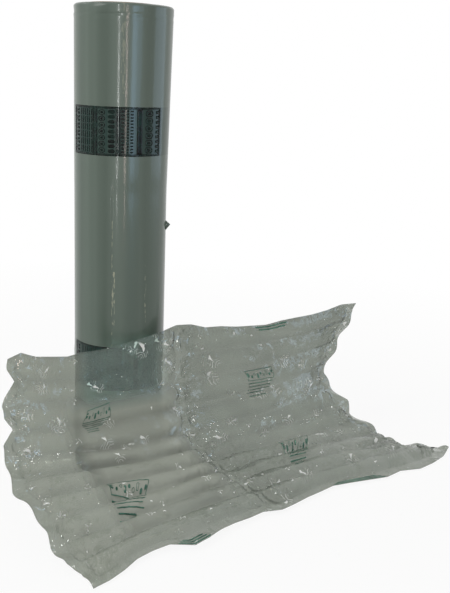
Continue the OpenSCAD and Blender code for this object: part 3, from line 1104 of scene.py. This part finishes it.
def blend_weights(count: int, shares: np.ndarray) -> np.ndarray:
    """Gives the share of each hand-set point in a smooth curve through them.

    Args:
        count: How many points the curve has.
        shares: Places along the curve, from 0 to 1.

    Returns:
        One row for each place, and one column for each point.
    """
    s = shares * (count - 1)
    k = np.clip(np.floor(s).astype(int), 0, count - 2)
    t = s - k
    parts = (-t ** 3 / 2 + t ** 2 - t / 2, 3 * t ** 3 / 2 - 5 * t ** 2 / 2 + 1,
             -3 * t ** 3 / 2 + 2 * t ** 2 + t / 2, t ** 3 / 2 - t ** 2 / 2)
    padded = np.zeros((len(shares), count + 2))
    for step, part in enumerate(parts):
        padded[np.arange(len(shares)), k + step] += part
    made = padded[:, 1:-1].copy()
    made[:, 0] += 2 * padded[:, 0]
    made[:, 1] -= padded[:, 0]
    made[:, -1] += 2 * padded[:, -1]
    made[:, -2] -= padded[:, -1]
    return made


def listed(values_mm: Sequence[float], shares: np.ndarray) -> np.ndarray:
    """Gives an evenly spaced list's values, in metres, at shares of its way."""
    return np.interp(shares, np.linspace(0, 1, len(values_mm)), np.array(values_mm, float) * MM)


def square_fade(distance: np.ndarray, reach: float) -> np.ndarray:
    """Falls from 1 to 0 over a distance, fastest at its start."""
    return np.maximum(0, 1 - distance / reach) ** 2


def unit(vectors: np.ndarray) -> np.ndarray:
    """Scales vectors to a length of 1."""
    return vectors / np.maximum(np.linalg.norm(vectors, axis=-1, keepdims=True), 1e-12)


@dataclass
class AirSheet:
    """The inflated sheet: two films sealed into cross tubes in two columns, leaning on the roll's foot."""

    web: float = 398 * MM
    tubes: int = 10
    pitch: float = 20 * MM
    flat_pitch: float = 27.5 * MM
    tube_h: float = 18 * MM
    seal: float = 0.5 * MM
    edge: float = 9 * MM
    seam: float = 8 * MM
    tear: float = 8 * MM
    tube_end: float = 20 * MM
    edge_fade: float = 36 * MM
    ruffle: float = 2.5 * MM
    border_waves: int = 8
    seam_waves: int = 11
    turn: float = math.radians(38)
    edge_cells: int = 4
    column_cells: int = 130
    seam_cells: int = 4
    tear_cells: int = 4
    tube_cells: int = 12
    frames: int = 12
    sim_scale: float = 20.0
    spare: float = 0.16
    spare_mid: float = 0.0
    pressure: float = 0.3
    slack: float = 0.5
    slack_mm: tuple[float, float] = (26.0, 16.0)
    ink_h: float = 0.15 * MM
    lean_gap: float = 0.3 * MM
    start_share: float = 0.92
    start_noise: float = 0.15 * MM
    floor_gap: float = 0.2 * MM

    def __post_init__(self) -> None:
        """Works out the sheet's stations across and along the web."""
        roll_low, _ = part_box("film_roll")
        self.lean_out = -roll_low.x + self.ink_h + self.lean_gap + self.tube_h / 2
        self.column = (self.web - 2 * self.edge - self.seam) / 2
        spans = [(self.edge, self.edge_cells), (self.column, self.column_cells), (self.seam, self.seam_cells),
                 (self.column, self.column_cells), (self.edge, self.edge_cells)]
        self.a = np.concatenate([[0.0], np.cumsum([size / n for size, n in spans for _ in range(n)])])
        steps = [self.tear / self.tear_cells] * self.tear_cells
        flat_steps = steps + [self.flat_pitch / self.tube_cells] * (self.tubes * self.tube_cells)
        steps = steps + [self.pitch / self.tube_cells] * (self.tubes * self.tube_cells)
        self.b = np.concatenate([[0.0], np.cumsum(steps)])
        self.flat_b = np.concatenate([[0.0], np.cumsum(flat_steps)])
        self.length = self.b[-1]

    def middle(self, a: np.ndarray, b: np.ndarray) -> np.ndarray:
        """Gives the sheet's middle surface.

        Args:
            a: Places across the web.
            b: Places along it.

        Returns:
            Points, one row for each a and one column for each b.
        """
        net = np.array(NET_MM, float) * MM
        u, v = a / self.web, b / self.length
        q = np.einsum("ui,vj,ijk->uvk", blend_weights(5, u), blend_weights(6, v), net)
        across = (q[..., 0] - np.outer(square_fade(a, self.edge_fade), listed(LEFT_EDGE_MM, v))
                  + np.outer(square_fade(self.web - a, self.edge_fade), listed(RIGHT_EDGE_MM, v)))
        out = self.lean_out + q[..., 1] + np.outer(listed(FRONT_EDGE_MM, u), square_fade(b, self.edge_fade))
        up = (self.tube_h / 2 + q[..., 2]
              + np.outer(listed(BACK_EDGE_MM, u), square_fade(self.length - b, self.edge_fade)))
        c, s = math.cos(self.turn), math.sin(self.turn)
        drawn = np.stack([across * c + out * s, across * s - out * c, up], axis=-1)
        border = square_fade(np.minimum(a, self.web - a), 2 * self.edge)[:, None]
        centre = square_fade(np.abs(a - self.web / 2), 2 * self.seam)[:, None]
        wave = (border * np.sin(self.border_waves * math.tau * v[None, :] + np.radians(a / MM)[:, None])
                + centre / 2 * np.sin(self.seam_waves * math.tau * v[None, :]))
        return drawn + self.ruffle * wave[..., None] * self.normal(drawn)

    def normal(self, grid: np.ndarray) -> np.ndarray:
        """Gives the directions square to a grid of points, on its upper side."""
        return unit(np.cross(np.gradient(grid, axis=0), np.gradient(grid, axis=1)))

    def fullness(self) -> tuple[np.ndarray, np.ndarray, np.ndarray]:
        """Gives how open the tubes are at each station.

        Returns:
            The tube's arch from 0 at a seam to 1, how near each place is to a tube's end, and whether it
            is sealed.
        """
        c = np.where(self.a < self.web / 2, self.a - self.edge, self.web - self.edge - self.a)
        end = np.minimum(c, self.column - c)
        close = np.sqrt(np.maximum(0, 1 - (1 - np.clip(end / self.tube_end, 0, 1)) ** 2))
        w = (self.b - self.tear) / self.pitch
        w = np.where(w < 0, 0, w - np.floor(w + 1e-6))
        arch = np.maximum(0, 1 - (2 * w - 1) ** 2)
        arch[np.isclose(w, 0, atol=1e-4)] = 0
        sealed_a, sealed_b = end < 1e-6, arch < 1e-6
        crease = np.clip(1 - end / (2 * self.tube_end), 0, 1) ** 1.5
        sealed = sealed_a[:, None] | sealed_b[None, :]
        return np.outer(close, arch), np.repeat(crease[:, None], len(self.b), axis=1), sealed

    def slackness(self, random: np.random.RandomState) -> np.ndarray:
        """Gives how full each place of the tubes is, which varies as the film sags and buckles.

        Args:
            random: The source of chance.

        Returns:
            A share from 1 - slack to 1 for each station across and along.
        """
        across, along = (size * MM for size in self.slack_mm)
        knots_a = np.arange(0, self.web + 2 * across, across)
        knots_b = np.arange(0, self.length + 2 * along, along)
        chance = random.uniform(0, 1, (len(knots_a), len(knots_b)))
        by_a = np.array([np.interp(self.a, knots_a, column) for column in chance.T]).T
        sag = np.array([np.interp(self.b, knots_b, row) for row in by_a])
        return 1 - self.slack * (3 * sag ** 2 - 2 * sag ** 3)

    def web_mesh(self) -> tuple[bmesh.types.BMesh, np.ndarray, np.ndarray, np.ndarray]:
        """Builds the two films as one closed mesh, laid out flat.

        Returns:
            The bmesh, and for each vertex its station across, its station along and its side, which is 1
            above and -1 below.
        """
        na, nb = len(self.a) - 1, len(self.b) - 1
        shape = bmesh.new()
        laid_out = Matrix.Translation((na / 2, nb / 2, 0)) @ Matrix.Diagonal((na, nb, 1, 1))
        bmesh.ops.create_grid(shape, x_segments=na, y_segments=nb, size=0.5, matrix=laid_out)
        bmesh.ops.solidify(shape, geom=shape.faces[:], thickness=0.5)
        shape.verts.ensure_lookup_table()
        flat = np.array([v.co for v in shape.verts])
        i = np.rint(flat[:, 0]).astype(int)
        j = np.rint(flat[:, 1]).astype(int)
        side = np.where(flat[:, 2] > flat[:, 2].mean(), 1.0, -1.0)
        layer = shape.loops.layers.uv.new("web")
        for face in shape.faces:
            for loop in face.loops:
                k = loop.vert.index
                loop[layer].uv = (self.a[i[k]], self.flat_b[j[k]])
        return shape, i, j, side

    def inflate(self, piece: bpy.types.Object, start: np.ndarray, sealed: np.ndarray,
                crease: np.ndarray) -> np.ndarray:
        """Lets air into the sheet with a cloth simulation, at a scale that suits the solver.

        Near the tubes' ends the flat film is longer than the room it has, so it creases there.

        Args:
            piece: The sheet.
            start: Its first shape.
            sealed: The vertices that stay where they are.
            crease: How much spare film there is at each vertex, from 0 to 1.

        Returns:
            The places that the vertices come to.
        """
        piece.data.vertices.foreach_set("co", (start * self.sim_scale).astype(np.float32).ravel())
        group = piece.vertex_groups.new(name="sealed")
        group.add([int(k) for k in np.flatnonzero(sealed)], 1.0, "REPLACE")
        taut = piece.vertex_groups.new(name="taut")
        for k, spare in enumerate(crease):
            taut.add([k], 1.0 - float(spare), "REPLACE")
        cloth = piece.modifiers.new("air", "CLOTH")
        film = cloth.settings
        film.vertex_group_mass = "sealed"
        film.vertex_group_shrink = "taut"
        film.shrink_min = -self.spare
        film.shrink_max = -self.spare_mid
        film.quality = 5
        film.mass = 0.1
        film.bending_stiffness = 0.05
        film.use_pressure = True
        film.uniform_pressure_force = self.pressure
        film.effector_weights.gravity = 0.0
        cloth.collision_settings.use_collision = False
        cloth.point_cache.frame_start = 1
        cloth.point_cache.frame_end = self.frames
        scene = bpy.context.scene
        for frame in range(1, self.frames + 1):
            scene.frame_set(frame)
        made = piece.evaluated_get(bpy.context.evaluated_depsgraph_get()).data
        places = np.zeros(len(made.vertices) * 3)
        made.vertices.foreach_get("co", places)
        piece.modifiers.remove(cloth)
        piece.vertex_groups.clear()
        scene.frame_set(1)
        return places.reshape(-1, 3) / self.sim_scale

    def build(self, film: bpy.types.Material, ink: bpy.types.Material) -> list[bpy.types.Object]:
        """Builds the sheet and its print.

        Args:
            film: The film's finish.
            ink: The ink's finish.

        Returns:
            The sheet and its print.
        """
        shape, i, j, side = self.web_mesh()
        sheet = new_object("air_sheet", shape, film)
        base = self.middle(self.a, self.b)
        normal = self.normal(base)
        arch, crease, sealed = self.fullness()
        random = np.random.RandomState(SEED)
        half = self.seal / 2 + (self.tube_h - self.seal) / 2 * arch * self.slackness(random)
        start = base[i, j] + (side * half[i, j] * self.start_share)[:, None] * normal[i, j]
        start += self.start_noise * random.standard_normal(start.shape) * (~sealed[i, j])[:, None]
        start[:, 2] = np.maximum(start[:, 2], self.floor_gap)
        grown = self.inflate(sheet, start, sealed[i, j], crease[i, j])
        start = self.capped(grown, base[i, j], normal[i, j])
        sheet.data.vertices.foreach_set("co", start.astype(np.float32).ravel())
        rise, rise_and_fall = (0, 1), (0, 1, 1, 0)
        cling = np.outer(np.interp(self.a, CLEAR_ACROSS, rise_and_fall), np.interp(self.b, CLEAR_ALONG, rise))
        leaning = sheet.data.attributes.new("sheet_normal", "FLOAT_VECTOR", "POINT")
        leaning.data.foreach_set("vector", (normal[i, j] * side[:, None]).astype(np.float32).ravel())
        foot = np.outer(np.interp(self.a, FOOT_ACROSS, rise_and_fall),
                        np.interp(self.b, FOOT_ALONG, rise_and_fall))
        for name, values in (("crease", crease[i, j]), ("cling", cling[i, j]), ("foot", foot[i, j]),
                             ("open", arch[i, j])):
            mark = sheet.data.attributes.new(name, "FLOAT", "POINT")
            mark.data.foreach_set("value", values.astype(np.float32))
        sheet.data.update()
        self.top = np.zeros(base.shape)
        above = side > 0
        self.top[i[above], j[above]] = start[above]
        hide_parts("cushion_sheet")
        layer = InkLayer(cell=1.2 * MM)
        self.draw_marks(layer)
        marks = layer.laid("sheet_marks", self.lay, lift=0.22 * MM, thickness=0.08 * MM, material=ink)
        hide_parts("sheet_print")
        return [sheet, marks]

    def capped(self, places: np.ndarray, base: np.ndarray, normal: np.ndarray) -> np.ndarray:
        """Keeps the film within the tubes' thickness and above the floor.

        Args:
            places: The simulated places.
            base: The middle surface at each vertex.
            normal: Its direction there.

        Returns:
            The places that are kept.
        """
        moved = places - base
        out = np.sum(moved * normal, axis=1, keepdims=True)
        moved += (np.clip(out, -self.tube_h / 2, self.tube_h / 2) - out) * normal
        kept = base + moved
        kept[:, 2] = np.maximum(kept[:, 2], self.floor_gap)
        return kept

    def lay(self, a: float, b: float, lift: float) -> Vector:
        """Gives the point of the upper film at (a, b), lifted off it.

        Args:
            a: Place across the web.
            b: Place along it.
            lift: How far off the film.

        Returns:
            The point.
        """
        i = min(max(int(np.searchsorted(self.a, a)) - 1, 0), len(self.a) - 2)
        j = min(max(int(np.searchsorted(self.b, b)) - 1, 0), len(self.b) - 2)
        s = (a - self.a[i]) / (self.a[i + 1] - self.a[i])
        t = (b - self.b[j]) / (self.b[j + 1] - self.b[j])
        p00, p10, p01, p11 = (self.top[i + di, j + dj] for di, dj in ((0, 0), (1, 0), (0, 1), (1, 1)))
        point = (1 - s) * (1 - t) * p00 + s * (1 - t) * p10 + (1 - s) * t * p01 + s * t * p11
        square = np.cross(p10 + p11 - p00 - p01, p01 + p11 - p00 - p10)
        return Vector(point + lift * square / np.linalg.norm(square))

    def draw_marks(self, ink: InkLayer) -> None:
        """Draws the four printed marks, two to a column, and the ends of more at the torn edges.

        Args:
            ink: The layer that they are drawn on.
        """
        for corners in MARKS_MM:
            ink.flat.verts.ensure_lookup_table()
            drawn = len(ink.flat.verts)
            self.draw_mark(ink)
            ink.flat.verts.ensure_lookup_table()
            spots = np.array(corners, float) * MM
            for vert in ink.flat.verts[drawn:]:
                vert.co.xy = self.mark_place(spots, vert.co.x, vert.co.y)
        for a, width in ((104, 30), (290, 48)):
            for line in range(3):
                ink.bar(a * MM, (0.9 + 1.7 * line) * MM, (width - 5 * line) * MM, 0.9 * MM)
        for line in range(2):
            ink.bar(302 * MM, self.length - (2.2 + 2.4 * line) * MM, (34 - 6 * line) * MM, 1.2 * MM)

    def draw_mark(self, ink: InkLayer) -> None:
        """Draws one print in its own rectangle: a framed row of blots, with bars below it.

        Args:
            ink: The layer that it is drawn on.
        """
        ink.frame(MARK_W / 2, MARK_ROW / 2, MARK_W, MARK_ROW, 0.5 * MM)
        for k in range(9):
            at = (k + 0.5) * MARK_W / 9
            down, tall = 4.2 + 1.8 * (k % 2), 2.6 + 1.8 * (k % 3 == 0)
            ink.pill(at, down * MM, 2.2 * MM, tall * MM, hollow=k in (2, 5, 6))
        for line, width in enumerate((32, 29, 31, 22, 24)):
            ink.bar(width / 2 * MM, (12.0 + 2.7 * line) * MM, width * MM, 0.6 * MM)

    def mark_place(self, corners: np.ndarray, x: float, y: float) -> np.ndarray:
        """Carries a point of a print's own rectangle to its place on the slack web.

        Args:
            corners: The row's upper and lower corners, then the last bar's ends, each left then right.
            x: Place across the print.
            y: Place down the print.

        Returns:
            The place across and along the web.
        """
        u = x / MARK_W
        upper, lower, foot = (corners[k] + u * (corners[k + 1] - corners[k]) for k in (0, 2, 4))
        if y < MARK_ROW:
            return upper + y / MARK_ROW * (lower - upper)
        return lower + (y - MARK_ROW) / (MARK_H - MARK_ROW) * (foot - lower)


@dataclass(frozen=True)
class Studio:
    """The camera, the lamps, the pale floor and the soft world round the object."""

    focal_px: float = 914.0
    frame_h_px: float = 593.0
    sensor_mm: float = 36.0
    camera_at: tuple[float, float, float] = (0.0924, -0.779, 0.3517)
    pitch: float = math.radians(13.96)
    roll: float = math.radians(2.17)
    floor_size: float = 12.0
    ambient: float = 0.62

    def camera(self) -> None:
        """Sets the camera at the photograph's viewing angle."""
        data = bpy.data.cameras.new("camera")
        data.sensor_width = self.sensor_mm
        data.lens = self.focal_px / self.frame_h_px * self.sensor_mm
        data.clip_start = 0.01
        camera = bpy.data.objects.new("camera", data)
        turn = Matrix.Rotation(math.pi / 2 - self.pitch, 4, "X") @ Matrix.Rotation(self.roll, 4, "Z")
        camera.matrix_world = Matrix.Translation(self.camera_at) @ turn
        bpy.context.scene.collection.objects.link(camera)
        bpy.context.scene.camera = camera

    def lamp(self, name: str, at: tuple[float, float, float], aim: tuple[float, float, float],
             size: tuple[float, float], radiance: float, colour: str = "#ffffff",
             mirrored: bool = False) -> None:
        """Adds a flat lamp.

        Args:
            name: The lamp's name.
            at: Where it stands.
            aim: The point that it faces.
            size: Its width and height.
            radiance: How bright its face is, where 1 is as bright as white paper in full light.
            colour: Its tint, as sRGB hex.
            mirrored: Whether it only shows as a reflection and lights nothing.
        """
        data = bpy.data.lights.new(name, "AREA")
        data.shape = "RECTANGLE"
        data.size, data.size_y = size
        data.energy = radiance * math.pi * size[0] * size[1]
        data.color = linear(colour)[:3]
        made = bpy.data.objects.new(name, data)
        made.visible_diffuse = not mirrored
        facing = (Vector(aim) - Vector(at)).to_track_quat("-Z", "Y").to_matrix().to_4x4()
        made.matrix_world = Matrix.Translation(at) @ facing
        bpy.context.scene.collection.objects.link(made)

    def round_lamp(self, name: str, degrees: float, distance: float, z: float, aim_z: float,
                   size: tuple[float, float], radiance: float, colour: str) -> None:
        """Adds a lamp by its direction round the roll, which only shows as a reflection.

        Args:
            name: The lamp's name.
            degrees: Its direction round the roll's axis.
            distance: How far from the axis it stands.
            z: Its height.
            aim_z: The height on the axis that it faces.
            size: Its width and height.
            radiance: How bright its face is.
            colour: Its tint, as sRGB hex.
        """
        turn = math.radians(degrees)
        self.lamp(name, (distance * math.cos(turn), distance * math.sin(turn), z), (0, 0, aim_z), size,
                  radiance, colour, mirrored=True)

    def lamps(self) -> None:
        """Adds the soft key, the strips and windows that show in the roll, and the lamps for glints."""
        self.lamp("key", (-1.4, -1.0, 1.5), (0.08, -0.05, 0.1), (0.9, 0.9), 6.4)
        self.round_lamp("tall_strip", -75, 1.5, 0.35, 0.25, (0.04, 1.3), 30.0, "#ffe4dc")
        self.round_lamp("near_strip", -93, 1.6, 0.35, 0.25, (0.035, 0.9), 52.0, "#ffffff")
        self.round_lamp("window", -58, 1.65, 0.36, 0.25, (0.3, 0.75), 4.4, "#b7dcff")
        self.round_lamp("wide_window", -53, 1.7, 0.36, 0.25, (0.75, 0.75), 3.0, "#b7dcff")
        self.round_lamp("side_window", 12, 1.6, 0.4, 0.25, (1.05, 0.75), 2.6, "#c2dcf6")
        for name, at in (("right_glint", (1.2, -0.35, 1.0)), ("left_glint", (-0.9, 0.2, 1.0)),
                         ("front_glint", (0.9, -0.9, 1.1))):
            self.lamp(name, at, (0.1, -0.08, 0.05), (0.16, 0.16), 20.0, mirrored=True)

    def world(self) -> None:
        """Lights the object softly from all round, with a white background."""
        world = bpy.data.worlds.new("studio")
        world.use_nodes = True
        tree = world.node_tree
        tree.nodes.clear()
        seen = add_node(tree, "ShaderNodeMapRange", {
            "Value": seen_plainly(tree), "To Min": self.ambient, "To Max": 1.0,
        })
        light = add_node(tree, "ShaderNodeBackground", {
            "Color": linear("#ffffff"), "Strength": seen.outputs[0],
        })
        add_node(tree, "ShaderNodeOutputWorld", {"Surface": light.outputs[0]})
        bpy.context.scene.world = world

    def floor(self) -> None:
        """Lays the plain pale floor, which looks as white as the background but keeps the object's shadow."""
        shape = bmesh.new()
        bmesh.ops.create_grid(shape, x_segments=1, y_segments=1, size=self.floor_size / 2)
        material = bpy.data.materials.new("pale_floor")
        material.use_nodes = True
        tree = material.node_tree
        tree.nodes.clear()
        paper = add_node(tree, "ShaderNodeBsdfDiffuse", {"Color": linear("#ececea")})
        glow = add_node(tree, "ShaderNodeEmission", {"Color": linear("#ffffff"), "Strength": 1.0})
        place = add_node(tree, "ShaderNodeTexCoord").outputs["Object"]
        away = add_node(tree, "ShaderNodeVectorMath", {0: place}, operation="LENGTH")
        bare = add_node(tree, "ShaderNodeMapRange", {
            "Value": away.outputs["Value"], "From Min": 0.3, "From Max": 0.9, "To Min": 0.9, "To Max": 1.0,
        })
        share = add_node(tree, "ShaderNodeMath", {0: seen_plainly(tree), 1: bare.outputs[0]},
                         operation="MULTIPLY")
        mixed = add_node(tree, "ShaderNodeMixShader", {
            0: share.outputs[0], 1: paper.outputs[0], 2: glow.outputs[0],
        })
        add_node(tree, "ShaderNodeOutputMaterial", {"Surface": mixed.outputs[0]})
        new_object("pale_floor", shape, material)

    def build(self) -> None:
        """Builds the whole studio."""
        self.lamps()
        self.world()
        self.floor()
        bpy.context.scene.view_settings.view_transform = "Standard"


def report(pieces: Sequence[bpy.types.Object]) -> None:
    """Logs each piece with its number of triangles.

    Args:
        pieces: What was built.
    """
    for piece in pieces:
        piece.data.calc_loop_triangles()
        LOG.info("%s: %d triangles", piece.name, len(piece.data.loop_triangles))


def main() -> None:
    """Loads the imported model, dresses it and sets it in the studio."""
    logging.basicConfig(level=logging.INFO, format="%(name)s %(message)s")
    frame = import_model()
    studio = Studio()
    studio.camera()
    core = frame["nodes"]["core_tube"]
    core.data.materials.clear()
    core.data.materials.append(KraftCard().material())
    film_ink = FilmInk(name="roll_ink").material()
    sheet_ink = FilmInk(name="sheet_ink", thin="#6f9a87", full="#2f6151", alpha=0.78).material()
    pieces = WoundRoll().build(WoundFilm().material(), film_ink)
    pieces += AirSheet().build(CushionFilm().material(), sheet_ink)
    for piece in pieces:
        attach(piece, "root")
    report(pieces)
    studio.build()


if __name__ == "__main__":
    main()
